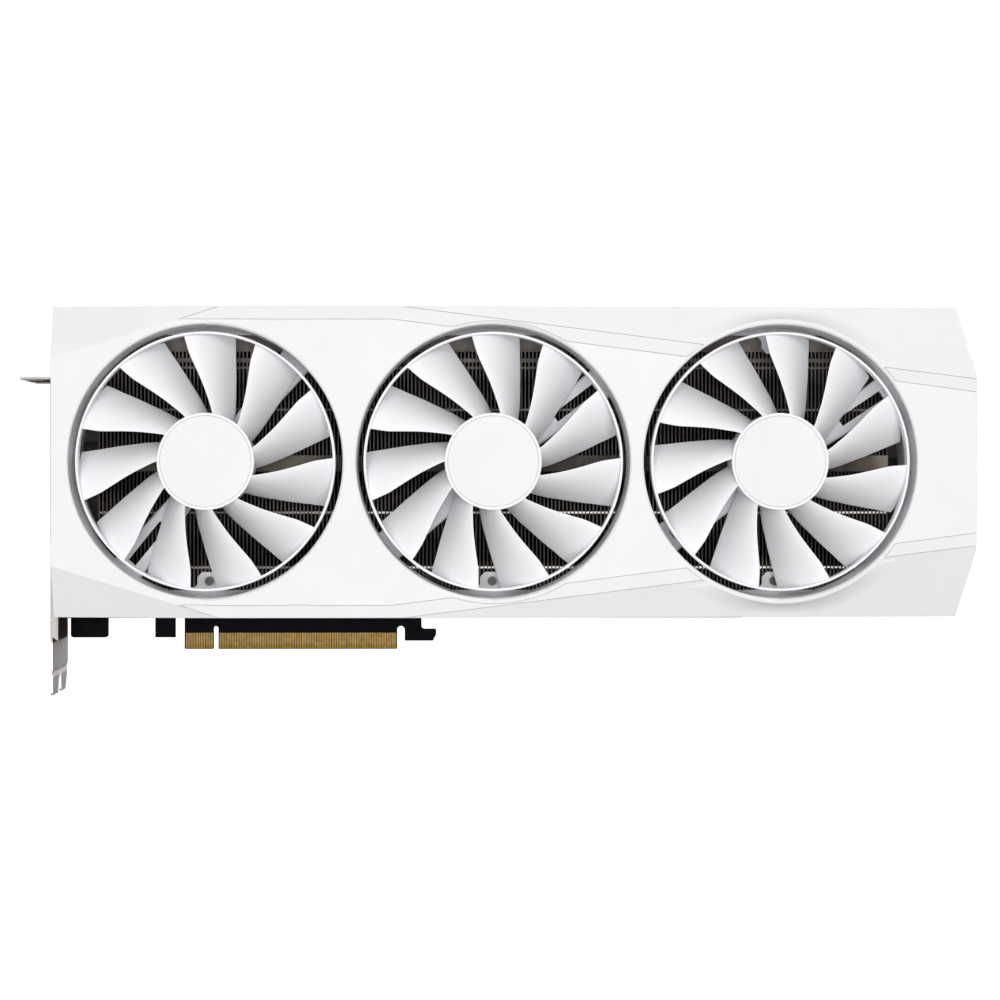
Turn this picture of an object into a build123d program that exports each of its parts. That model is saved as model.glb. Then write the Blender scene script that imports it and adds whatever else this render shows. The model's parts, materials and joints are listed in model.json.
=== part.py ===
"""Triple-fan graphics card, lying in its working frame.

X runs from the slot bracket to the tail, -Y is the fan side, +Y the backplate side, and +Z points away from the
slot connector.  The origin is on the outer face of the bracket, level with the component side of the circuit board
and with the bottom edge of the slot connector.  All lengths are in millimetres.
"""

from build123d import *
import math
import os

os.makedirs("parts", exist_ok=True)

# ---------------------------------------------------------------- driving dimensions
FRONT = -64.5  # front plane of the shroud
SHROUD_LEFT = 4.9
SHROUD_RIGHT = 351.6
SHROUD_MID_Z = 74.3
SHROUD_HALF = 58.3
SHROUD_WALL = 2.0
SKIRT_BACK = -30.0  # where the top and bottom skirts of the shroud end
VENTS = 6  # slots in each skirt near the tail
END_STRAIGHT = 32.8  # half height of the straight part of the tail
END_CHAMFER = 6.2
LEFT_FOLD = ((4.9, 113.1), (68.1, 132.6))
LEFT_FOLD_ANGLE = 20.5
RIGHT_FOLD = ((137.5, 132.5), (351.6, 105.7))
RIGHT_FOLD_ANGLE = 18.0

FAN_X = (62.5, 170.2, 277.9)
FAN_Z = 74.6
OPENING_R = 51.3
LIP_ROUND = 0.9  # front edge of each opening
RIM_ROUND = 0.35  # where the front meets the sides
CORNER_ROUND = 0.5
DUCT_BACK = -49.3
DUCT_DEEP = -27.3  # outer sides of the first and last duct, beside the fins
RAIL_FRONT = -47.0
RAIL_BACK = -44.8
RAIL_EDGE_Z = 25.7
TAB_SCREW_Z = 29.2
COLLAR_EDGE = ((52.6, 0.0), (53.3, 0.25), (53.7, 1.0))  # radius and depth of its rounded front edge
COLLAR_FOOT = ((53.7, 1.0), (54.4, 3.7), (56.4, 5.7))
FAN_TURN = (0.0, 0.0, -3.0)  # rest angle of each rotor, degrees
ARM_TILT = (51.0, 37.5, 33.7)  # direction of the slotted bar behind each rotor
ARM_SHIFT = 1.4  # the bar passes this far below and right of the hub's middle
ARM_REACH = 55.6
ARM_HALF = ((8.0, 3.9), (54.0, 6.4))  # distance from the hub and half width
ARM_SLOT = (29.2, 48.2, 1.75)  # start, end and half width
ARM_FRONT = -49.0
ARM_BACK = -46.6

RING_R = 48.6
RING_WALL = 1.0
RING_FRONT = -64.2
RING_DEPTH = 5.4
BLADES = 11
BLADE_FRONT = -63.6
BLADE_BACK = -50.6
BLADE_THICK = 1.1
BLADE_CAMBER = 2.0
LEAD_EDGE = ((18.2, 48.0), (22.5, 53.5), (28.5, 58.6), (34.5, 62.6), (40.4, 65.5), (47.4, 66.8))  # radius, angle
TRAIL_EDGE = ((18.2, 25.5), (22.8, 30.5), (28.9, 36.0), (35.0, 39.7), (41.0, 42.6), (47.4, 44.8))
HUB_R = 18.2
HUB_WALL = 1.5
HUB_FRONT = -63.9
HUB_BACK = -49.6
SHAFT_R = 1.5
SHAFT_GAP = 0.04

FIN_FRONT = -42.5
FIN_BASE_FRONT = -13.0
FIN_BASE_BACK = -8.0
FIN_BOTTOM = 20.0
FIN_TOP = 128.5
FIN_PITCH = 1.45
FIN_THICK = 0.5
FIN_SPAN = (19.7, 322.4)  # the outer stacks have no fins beyond these
TIE_BARS = ((116.9, 122.8), (112.8, 114.3), (110.3, 111.1), (94.2, 95.0), (54.8, 55.6), (33.8, 34.6))
TIE_RECESS = 0.25
MIDDLE_BAR = (71.0, 77.1)  # flat bar across the middle of the fins
MIDDLE_BAR_FRONT = -43.4
END_BLOCKS = ((82.6, 96.0), (76.3, 92.0))  # small blocks beside the outermost fins
END_BLOCK_FRONT = -27.0
STACKS = {
    "fin_stack_left": (9.5, 113.5),
    "fin_stack_middle": (119.0, 226.0),
    "fin_stack_right": (229.0, 338.0),
}
PIPE_R = 3.0
PIPE_Z = (44.0, 54.5, 65.0, 75.5, 86.0, 96.5)
PIPE_ENDS = ((60, 300), (34, 320), (22, 334), (22, 334), (34, 320), (60, 300))

BOARD_THICK = 1.57
BOARD_RIGHT = 272.0
BOARD_TOP = 126.0
BOARD_EDGE = 12.5
CHIP_AT = (172.0, 70.0)
PLATE_BACK = -2.05

BRACKET_THICK = 0.86
BRACKET_FRONT = -34.6
BRACKET_BACK = 4.1
BRACKET_TOP = 107.4
BRACKET_SPLIT = -5.0
BRACKET_TIP = -15.5
FLANGE_TIP = -11.6
TAIL_NEAR = (  # outlines of the two feet, depth and height
    (-33.9, -4.0),
    (-14.3, -4.0),
    (-14.3, -7.6),
    (-19.0, -10.0),
    (-20.2, -14.7),
    (-21.0, -15.5),
    (-33.0, -15.5),
    (-33.9, -14.7),
)
TAIL_FAR = (
    (-13.3, -4.0),
    (3.5, -4.0),
    (3.5, -6.5),
    (-1.5, -14.5),
    (-2.5, -15.5),
    (-12.0, -15.5),
    (-12.9, -14.7),
)
PORT_Z = (36.0, 55.0, 74.0, 91.2)

BACKPLATE = (4.0, 5.4)


# ---------------------------------------------------------------- small helpers
def save(name, shape):
    """Write one piece to its own file."""
    export_step(shape, f"parts/{name}.step")


def box(x0, x1, y0, y1, z0, z1):
    """Box between two opposite corners."""
    return Pos((x0 + x1) / 2, (y0 + y1) / 2, (z0 + z1) / 2) * Box(x1 - x0, y1 - y0, z1 - z0)


def disc(x, z, radius, front, back):
    """Cylinder lying along Y."""
    return Pos(x, (front + back) / 2, z) * Rot(90, 0, 0) * Cylinder(radius, back - front)


def tube(x, z, outer, inner, front, back):
    """Hollow cylinder lying along Y."""
    return disc(x, z, outer, front, back) - disc(x, z, inner, front - 1, back + 1)


def slab(points, front, back):
    """Outline in the XZ plane given thickness along Y."""
    face = make_face(Polyline(*points, close=True))
    return extrude(Plane.XZ.offset(-back) * face, back - front)


def mirrored(shape):
    """The same shape flipped about the middle height of the shroud."""
    return mirror(shape, Plane.XY.offset(SHROUD_MID_Z))


def polar(radius, angle):
    """Point on a circle, angle in degrees."""
    return radius * math.cos(math.radians(angle)), radius * math.sin(math.radians(angle))


def group(shapes):
    """Several loose solids of one kind kept together."""
    return Compound(children=[s.solid() if len(s.solids()) == 1 else s for s in shapes])


def screw(x, z, head_front, head_back, tip, head_r=2.3, shank_r=1.2, drive=1.6):
    """Cheese-head screw along Y with a hexagon recess in its head."""
    outward = -1 if head_front < head_back else 1
    low, high = sorted((head_front, head_back))
    body = disc(x, z, head_r, low, high) + disc(x, z, shank_r, *sorted((head_back, tip)))
    deep = head_front - outward * 0.6
    recess = RegularPolygon(drive, 6)
    near, far = sorted((head_front + outward, deep))
    return body - extrude(Plane.XZ.offset(-far) * Pos(x, z) * recess, far - near)


# ---------------------------------------------------------------- shroud
def fold_cut(line, angle, inset):
    """Wedge in front of a sloping facet that starts at a fold line and falls back beyond it."""
    (ax, az), (bx, bz) = line
    length = math.hypot(bx - ax, bz - az)
    run = Vector((bx - ax) / length, 0, (bz - az) / length)
    out = Vector(-run.Z, 0, run.X)
    shift = -inset * math.tan(math.radians(angle / 2))
    start = Vector(ax, FRONT + inset, az) - run * 60 + out * shift
    reach = 60
    drop = reach * math.tan(math.radians(angle))
    wedge = make_face(Polyline((0, 6), (reach, 6), (reach, -drop), (0, 0), close=True))
    return extrude(Plane(origin=start, x_dir=out, z_dir=run) * wedge, length + 120)


def shroud_block(inset, back):
    """Outer form of the shroud, or the same form shrunk by a wall thickness."""
    left = SHROUD_LEFT + inset
    right = SHROUD_RIGHT - inset
    top = SHROUD_HALF - inset
    outline = [
        (left, -top),
        (right - END_CHAMFER, -top),
        (right, -END_STRAIGHT),
        (right, END_STRAIGHT),
        (right - END_CHAMFER, top),
        (left, top),
    ]
    form = slab([(x, z + SHROUD_MID_Z) for x, z in outline], FRONT + inset, back)
    form = fillet(form.edges().filter_by(Axis.Y), CORNER_ROUND)
    for line, angle in ((LEFT_FOLD, LEFT_FOLD_ANGLE), (RIGHT_FOLD, RIGHT_FOLD_ANGLE)):
        cut = fold_cut(line, angle, inset)
        form = form - cut - mirrored(cut)
    if inset == 0:
        form = fillet(form.edges().filter_by(on_rim), RIM_ROUND)
    return form


def on_rim(edge):
    """True for the edges where the front faces of the shroud meet its sides."""
    middle = edge @ 0.5
    size = edge.bounding_box().size
    along_front = size.X > 0.01 or size.Z > 0.01
    near_left = abs(middle.X - SHROUD_LEFT) < 0.6
    near_right = middle.X > SHROUD_RIGHT - END_CHAMFER - 2
    near_top = SHROUD_HALF - abs(middle.Z - SHROUD_MID_Z) < 0.6
    return along_front and middle.Y < SKIRT_BACK - 5 and (near_left or near_right or near_top)


def collar(x):
    """Raised ring round a fan opening, with a soft foot that runs out into the sloping shoulders."""
    edge = [(r, FRONT + depth) for r, depth in COLLAR_EDGE]
    foot = [(r, FRONT + depth) for r, depth in COLLAR_FOOT]
    last = foot[-1]
    outline = ThreePointArc(*edge) + ThreePointArc(*foot)
    outline += Polyline(last, (last[0], -57.5), (51.0, -57.5), (51.0, FRONT), edge[0])
    ring = revolve(Plane.XY * make_face(outline), Axis.Y, 360)
    return Pos(x, 0, FAN_Z) * ring


def lip_cut(x):
    """Tool that rounds the front edge of a fan opening."""
    corner = tube(x, FAN_Z, OPENING_R + LIP_ROUND, OPENING_R - 1, FRONT - 1, FRONT + LIP_ROUND)
    bead = Torus(OPENING_R + LIP_ROUND, LIP_ROUND)
    return corner - Pos(x, FRONT + LIP_ROUND, FAN_Z) * Rot(90, 0, 0) * bead


def duct(x):
    """Round wall behind a fan opening, narrowing a little towards the heatsink."""
    near = FRONT + 1.2
    outline = [(51.3, near), (52.9, near), (52.6, DUCT_BACK), (51.0, DUCT_BACK)]
    profile = make_face(Polyline(*outline, close=True))
    return Pos(x, 0, FAN_Z) * revolve(Plane.XY * profile, Axis.Y, 360)


def deep_wall(x, low, high, half):
    """Part of a duct that reaches back past the fins, between two X positions."""
    wall = tube(x, FAN_Z, 52.3, 51.2, DUCT_BACK - 0.5, DUCT_DEEP)
    return wall & box(low, high, -60, 0, FAN_Z - half, FAN_Z + half)


def arm_feet(index):
    """Where the two ends of a fan's bar are screwed to the shroud."""
    x = FAN_X[index]
    tilt = ARM_TILT[index]
    shift_x, shift_z = polar(ARM_SHIFT, tilt - 90)
    ends = [polar(ARM_REACH, tilt), polar(ARM_REACH, tilt + 180)]
    return [(x + dx + shift_x, FAN_Z + dz + shift_z) for dx, dz in ends]


TRIM_OUTLINE = [
    (53.5, 127.9),
    (132.3, 127.9),
    (195.8, 119.9),
    (243.7, 113.8),
    (319.5, 105.1),
    (351.6, 100.8),
    (351.6, 105.5),
    (137.5, 132.3),
    (137.3, 132.6),
    (68.1, 132.6),
]
TRIM_DEPTH = 0.9
TRIM_GAP = 0.18


def make_trim(grow):
    """Upper trim strip, flush with the shroud and cut back round the fans, or with grow its own pocket."""
    face = make_face(Polyline(*TRIM_OUTLINE, close=True))
    if grow:
        face = offset(face, grow, kind=Kind.INTERSECTION)
    strip = extrude(Plane.XZ.offset(-FRONT - TRIM_DEPTH - grow / 4) * face, TRIM_DEPTH + 1)
    for x in FAN_X[1:]:
        strip -= disc(x, FAN_Z, OPENING_R + LIP_ROUND + 0.5 - grow, FRONT - 3, FRONT + 3)
    return strip if grow else strip & shroud_block(0, SKIRT_BACK)


def make_shroud():
    """White fan shroud with its facets, openings, ducts, posts and tabs."""
    shell = shroud_block(0, SKIRT_BACK) - shroud_block(SHROUD_WALL, SKIRT_BACK + 1)
    shell += collar(FAN_X[2])
    inside = shroud_block(0.8, SKIRT_BACK)
    for index, x in enumerate(FAN_X):
        for foot_x, foot_z in arm_feet(index):
            shell += disc(foot_x, foot_z, 3.2, FRONT, ARM_FRONT) & inside
        shell -= disc(x, FAN_Z, OPENING_R, FRONT - 1, -40)
        shell -= lip_cut(x)
        shell += duct(x)
        for foot_x, foot_z in arm_feet(index):
            shell -= disc(foot_x, foot_z, 1.25, -58, ARM_FRONT + 1)
    shell += deep_wall(FAN_X[0], 0, FIN_SPAN[0] - 0.4, 30)
    shell += deep_wall(FAN_X[2], FIN_SPAN[1] + 0.4, 340, 18.5)
    shell += end_wall()
    for k in range(VENTS):
        vent = box(262 + 13 * k, 271 + 13 * k, -45, -41.5, 125, 140)
        shell -= vent
        shell -= mirrored(vent)
    pocket = make_trim(TRIM_GAP)
    shell = shell - pocket - mirrored(pocket)
    wide_seam = box(80.3, 100.9, FRONT - 1, FRONT + TRIM_DEPTH, 127.3, 127.75)
    low_seams = box(54.5, 63.5, FRONT - 1, FRONT + TRIM_DEPTH, 127.3, 127.75)
    low_seams += box(94.0, 101.0, FRONT - 1, FRONT + TRIM_DEPTH, 127.3, 127.75)
    return shell - wide_seam - mirrored(low_seams)


def make_rails():
    """Two flat rails inside the skirts, with a tab behind each fan for the shroud screws."""
    low = SHROUD_MID_Z - SHROUD_HALF + SHROUD_WALL
    rail = box(9, 340, RAIL_FRONT, RAIL_BACK, low, RAIL_EDGE_Z)
    for x in FAN_X:
        half = [(6.5, RAIL_EDGE_Z), (4.6, 28.0), (4.6, 30.6), (2.8, 32.6)]
        outline = [(x + dx, z) for dx, z in half] + [(x - dx, z) for dx, z in reversed(half)]
        outline += [(x - 6.5, RAIL_EDGE_Z - 1), (x + 6.5, RAIL_EDGE_Z - 1)]
        rail += slab(outline, RAIL_FRONT, RAIL_BACK)
        rail -= disc(x, TAB_SCREW_Z, 1.3, -50, -40)
    return group([rail, mirrored(rail)])


def end_wall():
    """Wall that closes the tail down to the backplate, with two screw bosses."""
    low = SHROUD_MID_Z - END_STRAIGHT
    high = SHROUD_MID_Z + END_STRAIGHT
    wall = box(SHROUD_RIGHT - SHROUD_WALL, SHROUD_RIGHT, SKIRT_BACK - 1, BACKPLATE[0], low + 1, high - 1)
    for z in (low + 8, high - 8):
        wall += box(SHROUD_RIGHT - 9, SHROUD_RIGHT - 1, -8, BACKPLATE[0], z - 3, z + 3)
        wall -= disc(SHROUD_RIGHT - 6, z, 1.25, -6, 10)
    return wall


# ---------------------------------------------------------------- fans
def angle_on_line(points, radius):
    """Angle at which a bent edge line, given by radius-angle points, crosses a radius."""
    pairs = list(zip(points, points[1:]))
    for (r0, a0), (r1, a1) in pairs:
        last = (r1, a1) == points[-1]
        if radius <= r1 or last:
            return a0 + (a1 - a0) * (radius - r0) / (r1 - r0)


def blade_section(radius):
    """Thin cambered profile of the blade at one radius."""
    lead = angle_on_line(LEAD_EDGE, radius)
    trail = angle_on_line(TRAIL_EDGE, radius)
    half = math.radians(lead - trail) / 2
    middle = (lead + trail) / 2
    reach = radius * math.cos(half)
    width = radius * math.sin(half)
    out = Vector(math.cos(math.radians(middle)), 0, math.sin(math.radians(middle)))
    side = Vector(-out.Z, 0, out.X)
    plane = Plane(origin=out * reach, x_dir=side, z_dir=out)
    depth = plane.y_dir.Y  # local up is along -Y or +Y
    t = BLADE_THICK / 2
    front = (width, depth * BLADE_FRONT)
    back = (-width, depth * BLADE_BACK)
    belly = (0, depth * ((BLADE_FRONT + BLADE_BACK) / 2 - BLADE_CAMBER))
    lean = math.atan2(back[1] - front[1], back[0] - front[0])
    nx, ny = -math.sin(lean) * t, math.cos(lean) * t
    near = [(p[0] + nx, p[1] + ny) for p in (front, belly, back)]
    far = [(p[0] - nx, p[1] - ny) for p in (back, belly, front)]
    edges = Spline(*near) + Line(near[-1], far[0]) + Spline(*far) + Line(far[-1], near[0])
    return plane * make_face(edges)


def make_rotor():
    """Hub cup, blades and outer ring, turning about the Y axis through the origin."""
    hub = disc(0, 0, HUB_R, HUB_FRONT, HUB_BACK) - disc(0, 0, HUB_R - HUB_WALL, HUB_FRONT + 1.9, 0)
    hub -= disc(0, 0, HUB_R - 1.1, HUB_FRONT - 1, HUB_FRONT + 0.7)
    hub += tube(0, 0, 3.0, SHAFT_R, HUB_FRONT + 1.9, -57.0)
    blade = loft([blade_section(r) for r in (17.5, 25.0, 33.0, 40.3, 48.2)])
    blade = blade & disc(0, 0, RING_R - RING_WALL / 2, FRONT, HUB_BACK)
    ring = tube(0, 0, RING_R, RING_R - RING_WALL, RING_FRONT, RING_FRONT + RING_DEPTH)
    blades = [Rot(0, -360 / BLADES * k, 0) * blade for k in range(BLADES)]
    return hub.fuse(ring, *blades)


def make_bar():
    """Slotted bar through the origin that widens towards both ends, with bevelled front edges."""
    (near, narrow), (far, wide) = ARM_HALF
    outline = [(far, -wide), (far, wide), (near, narrow), (-near, narrow)]
    outline += [(-far, wide), (-far, -wide), (-near, -narrow), (near, -narrow)]
    bar = slab(outline, ARM_FRONT, ARM_BACK)
    bar = chamfer(bar.faces().sort_by(Axis.Y)[0].outer_wire().edges(), 0.6)
    start, end, half = ARM_SLOT
    for low, high in ((start, end), (-end, -start)):
        bar -= box(low, high, ARM_FRONT - 1, ARM_BACK + 1, -half, half)
    return bar


def make_fan_frame(index):
    """Fixed carrier behind the rotor: motor plate, bearing tube and slotted bar."""
    x = FAN_X[index]
    tilt = ARM_TILT[index]
    shift_x, shift_z = polar(ARM_SHIFT, tilt - 90)
    frame = Pos(x + shift_x, 0, FAN_Z + shift_z) * Rot(0, -tilt, 0) * make_bar()
    frame += disc(x, FAN_Z, 15.0, ARM_FRONT, ARM_BACK)
    frame += disc(x, FAN_Z, 4.5, -56.5, ARM_FRONT + 1)
    for foot_x, foot_z in arm_feet(index):
        frame += disc(foot_x, foot_z, 3.4, ARM_FRONT, ARM_BACK)
        frame -= disc(foot_x, foot_z, 1.25, ARM_FRONT - 1, ARM_BACK + 1)
    return frame - disc(x, FAN_Z, 3.5, -60, -47.6)


def make_fans():
    """Write the pieces of the three fans and return the screws that hold them."""
    rotor = make_rotor()
    screws = []
    for number, (x, turn) in enumerate(zip(FAN_X, FAN_TURN), start=1):
        place = Pos(x, 0, FAN_Z)
        save(f"fan_rotor_{number}", place * Rot(0, -turn, 0) * rotor)
        cap = disc(x, FAN_Z, HUB_R - 1.15, HUB_FRONT + 0.1, HUB_FRONT + 0.7)
        save(f"hub_cap_{number}", chamfer(cap.edges().sort_by(Axis.Y)[0], 0.2))
        save(f"magnet_ring_{number}", tube(x, FAN_Z, HUB_R - HUB_WALL, 15.3, -60.0, -50.4))
        save(f"fan_shaft_{number}", disc(x, FAN_Z, SHAFT_R, HUB_FRONT + 1.9, -48.2))
        save(f"fan_frame_{number}", make_fan_frame(number - 1))
        save(f"fan_bearing_{number}", tube(x, FAN_Z, 3.5, SHAFT_R + SHAFT_GAP, -56.4, -48.0))
        save(f"fan_stator_{number}", make_stator(x))
        for foot_x, foot_z in arm_feet(number - 1):
            screws.append(screw(foot_x, foot_z, ARM_BACK + 1.2, ARM_BACK, -54.0))
    save("fan_screws", group(screws))


def make_stator(x):
    """Wound stator with six teeth round the bearing tube."""
    core = tube(x, FAN_Z, 8.0, 4.5, -58.0, -51.0)
    for k in range(6):
        tooth = Pos(10.5, -54.5, 0) * Box(6.5, 6.0, 3.4)
        shoe = tube(0, 0, 14.6, 13.2, -57.5, -51.5) & box(10, 16, -58, -51, -5.6, 5.6)
        core += Pos(x, 0, FAN_Z) * Rot(0, -60 * k, 0) * (tooth + shoe)
    return core


# ---------------------------------------------------------------- heatsink
def make_stack(x0, x1, nuts):
    """One block of fins standing on a base plate, held by tie bars and a flat middle bar."""
    stack = box(x0, x1, FIN_BASE_FRONT, FIN_BASE_BACK, FIN_BOTTOM, FIN_TOP)
    for z, (start, end) in zip(PIPE_Z, PIPE_ENDS):
        groove = Rot(0, 90, 0) * Cylinder(PIPE_R + 0.02, end - start + 0.4)
        stack -= Pos((start + end) / 2, FIN_BASE_BACK, z) * groove
    first = max(x0, FIN_SPAN[0])
    count = int((min(x1, FIN_SPAN[1]) - first - FIN_THICK) / FIN_PITCH) + 1
    fins = []
    for k in range(count):
        x = first + k * FIN_PITCH
        fins.append(box(x, x + FIN_THICK, FIN_FRONT, FIN_BASE_FRONT + 0.5, FIN_BOTTOM, FIN_TOP))
    last = first + (count - 1) * FIN_PITCH + FIN_THICK
    ties = [box(first, last, FIN_FRONT + TIE_RECESS, FIN_FRONT + 0.8, low, high) for low, high in TIE_BARS]
    ties.append(box(first, last, MIDDLE_BAR_FRONT, FIN_FRONT + 0.8, *MIDDLE_BAR))
    back = FIN_BASE_FRONT + 0.5
    if first > x0:
        ties.append(box(x0, first + FIN_THICK, END_BLOCK_FRONT, back, *END_BLOCKS[0]))
    if last < x1 - FIN_PITCH:
        ties.append(box(last - FIN_THICK, x1, END_BLOCK_FRONT, back, *END_BLOCKS[1]))
    stack = stack.fuse(*ties, *fins)
    for x in nuts:
        notch = box(x - 3.2, x + 3.2, FIN_FRONT - 1, -36.4, TAB_SCREW_Z - 3.2, TAB_SCREW_Z + 3.2)
        floor = box(x - 3.2, x + 3.2, -37.2, -36.4, TAB_SCREW_Z - 3.2, TAB_SCREW_Z + 3.2)
        stack = stack - notch - mirrored(notch)
        stack = stack + floor + mirrored(floor)
    return stack


def make_heatsink():
    """Fin stacks, heat pipes, contact plate and the nuts the shroud is screwed to."""
    for (name, (x0, x1)), x in zip(STACKS.items(), FAN_X):
        stack = make_stack(x0, x1, [x])
        if name == "fin_stack_middle":
            stack -= box(209, 230, -14, -7, 111, 130)
        if name == "fin_stack_right":
            stack -= box(228, 262, -14, -7, 111, 130)
        save(name, stack)
    pipes = []
    for z, (start, end) in zip(PIPE_Z, PIPE_ENDS):
        pipe = Pos((start + end) / 2, FIN_BASE_BACK, z) * Rot(0, 90, 0) * Cylinder(PIPE_R, end - start)
        pipes.append(fillet(pipe.edges(), 1.4))
    save("heat_pipes", group(pipes))
    plate = box(129, 215, FIN_BASE_BACK, PLATE_BACK, 30, 101)
    for z in PIPE_Z:
        plate -= Pos(172, FIN_BASE_BACK, z) * Rot(0, 90, 0) * Cylinder(PIPE_R + 0.02, 100)
    for x, z in plate_screw_points():
        plate -= disc(x, z, 1.45, -5, 0)
    save("contact_plate", plate)
    nuts = []
    screws = []
    for x in FAN_X:
        nut = box(x - 3, x + 3, -44.8, -37.2, TAB_SCREW_Z - 3, TAB_SCREW_Z + 3)
        nut -= disc(x, TAB_SCREW_Z, 1.25, -46, -38.2)
        nuts += [nut, mirrored(nut)]
        for z in (TAB_SCREW_Z, 2 * SHROUD_MID_Z - TAB_SCREW_Z):
            screws.append(screw(x, z, -48.2, -47.0, -39.0, head_r=1.7, drive=1.0))
    save("heatsink_nuts", group(nuts))
    save("shroud_screws", group(screws))


# ---------------------------------------------------------------- circuit board and what it carries
def plate_screw_points():
    """Corners of the square of screws round the processor."""
    cx, cz = CHIP_AT
    return [(cx + sx * 28, cz + sz * 28) for sx in (-1, 1) for sz in (-1, 1)]


def memory_points():
    """Middle, width and height of every memory chip."""
    cx, cz = CHIP_AT
    sides = [(cx + side * 34, cz + step * 15.5, 12, 14) for side in (-1, 1) for step in (-1, 0, 1)]
    return sides + [(cx - 8.5, cz - 32, 14, 12), (cx + 8.5, cz - 32, 14, 12)]


BACKPLATE_SCREWS = ((12, 24), (12, 118), (90, 24), (90, 118), (215, 22), (200, 118), (264, 24), (264, 118))


def corners_at(shape, points):
    """Edges along Y that stand on the given XZ points."""
    found = []
    for edge in shape.edges().filter_by(Axis.Y):
        middle = edge @ 0.5
        if any(math.hypot(middle.X - x, middle.Z - z) < 0.01 for x, z in points):
            found.append(edge)
    return found


def make_board():
    """Circuit board with its slot tongue, key notch, retention hook and screw holes."""
    outline = [
        (1.5, BOARD_EDGE),
        (2.6, BOARD_EDGE),
        (2.6, 4.7),
        (17.6, 4.7),
        (17.6, BOARD_EDGE),
        (36.4, BOARD_EDGE),
        (36.4, 4.7),
        (44.5, 4.7),
        (44.5, BOARD_EDGE),
        (48.15, BOARD_EDGE),
        (48.15, 0.0),
        (59.8, 0.0),
        (59.8, 8.25),
        (61.7, 8.25),
        (61.7, 0.0),
        (133.35, 0.0),
        (133.35, 7.7),
        (136.35, 7.7),
        (136.35, 3.3),
        (147.7, 3.3),
        (149.0, 5.9),
        (149.0, 8.1),
        (143.1, 8.1),
        (143.1, BOARD_EDGE),
        (BOARD_RIGHT, BOARD_EDGE),
        (BOARD_RIGHT, BOARD_TOP),
        (1.5, BOARD_TOP),
    ]
    board = slab(outline, 0, BOARD_THICK)
    board = fillet(corners_at(board, [(2.6, 4.7), (17.6, 4.7), (143.1, 8.1)]), 1.2)
    board = fillet(corners_at(board, [(48.15, 0), (59.8, 0), (61.7, 0), (133.35, 0), (149.0, 8.1)]), 0.5)
    board -= disc(60.75, 8.25, 0.95, -1, 3)
    board -= disc(134.85, 7.7, 1.5, -1, 3)
    for x, z in plate_screw_points():
        board -= disc(x, z, 1.6, -1, 3)
    for x, z in BACKPLATE_SCREWS:
        board -= disc(x, z, 1.3, -1, 3)
    for z in (21.0, 103.0):
        board -= disc(6.0, z, 1.3, -1, 3)
    return board


def make_contacts():
    """Gold contact fingers on both faces of the slot tongue."""
    pads = []
    starts = [48.65 + k for k in range(11)] + [62.1 + k for k in range(71)]
    for x in starts:
        pads.append(box(x, x + 0.84, -0.05, 0, 0.2, 6.5))
        pads.append(box(x, x + 0.84, BOARD_THICK, BOARD_THICK + 0.05, 0.2, 6.5))
    return group(pads)


def make_power_socket(x0):
    """Eight-way power socket opening upwards, with a keyed latch ramp on its outer face."""
    body = box(x0, x0 + 18.4, -11.6, -1.6, 113.5, 127.5)
    for column in range(4):
        for row in range(2):
            x = x0 + 2.9 + 4.2 * column
            y = -4.5 - 4.2 * row
            body -= box(x - 1.7, x + 1.7, y - 1.7, y + 1.7, 116.0, 130)
    body += box(x0 + 7.2, x0 + 11.2, -12.3, -11.5, 121.5, 124.0)
    body += box(x0 + 1, x0 + 17.4, -1.6, 0, 115, 126)
    return body


def make_electronics():
    """Processor, memory, coils, capacitors, power sockets and pins."""
    cx, cz = CHIP_AT
    save("processor_substrate", box(cx - 22, cx + 22, -1.2, 0, cz - 22, cz + 22))
    save("processor_die", box(cx - 13, cx + 13, PLATE_BACK, -1.2, cz - 11, cz + 11))
    chips = []
    pads = []
    for x, z, width, height in memory_points():
        chips.append(box(x - width / 2, x + width / 2, -1.1, 0, z - height / 2, z + height / 2))
        wide = width / 2 - 1
        high = height / 2 - 1
        pads.append(box(x - wide, x + wide, PLATE_BACK, -1.1, z - high, z + high))
    save("memory_chips", group(chips))
    save("thermal_pads", group(pads))
    coils = [box(x - 4, x + 4, -4.2, 0, z - 4, z + 4) for x in (112, 232) for z in range(34, 108, 11)]
    save("choke_coils", group([chamfer(c.edges().filter_by(Axis.Y), 1.0) for c in coils]))
    stages = [box(x - 3, x + 3, -0.9, 0, z - 3, z + 3) for x in (121, 222) for z in range(34, 108, 11)]
    save("power_stages", group(stages))
    cans = [disc(x, z, 3.1, -4.6, 0) for x in (101, 243) for z in range(38, 108, 11)]
    save("capacitors", group(cans))
    pins = []
    sockets = []
    for x0 in (214.0, 238.0):
        sockets.append(make_power_socket(x0))
        for column in range(4):
            for row in range(2):
                x = x0 + 2.9 + 4.2 * column
                y = -4.5 - 4.2 * row
                pins.append(box(x - 0.5, x + 0.5, y - 0.5, y + 0.5, 116.0, 124.5))
    save("power_sockets", group(sockets))
    save("power_pins", group(pins))
    headers = []
    for x in (70, 84):
        header = box(x - 4, x + 4, -5.0, 0, 108, 112)
        headers.append(header - box(x - 3.2, x + 3.2, -5.5, -1.5, 108.8, 111.2))
    save("fan_headers", group(headers))


# ---------------------------------------------------------------- bracket and sockets
def tail(outline):
    """Foot of the bracket that drops into the slot, with its small kink; outline is in the YZ plane."""
    t = BRACKET_THICK
    outer = [(0, -4), (0, -5.2), (-0.4, -6.8), (0, -8.6), (0, BRACKET_TIP)]
    inner = [(x + t, z) for x, z in reversed(outer)]
    foot = slab(outer + inner, BRACKET_FRONT, BRACKET_BACK)
    face = make_face(Polyline(*outline, close=True))
    return foot & extrude(Plane.YZ.offset(-2) * face, 5)


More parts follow.
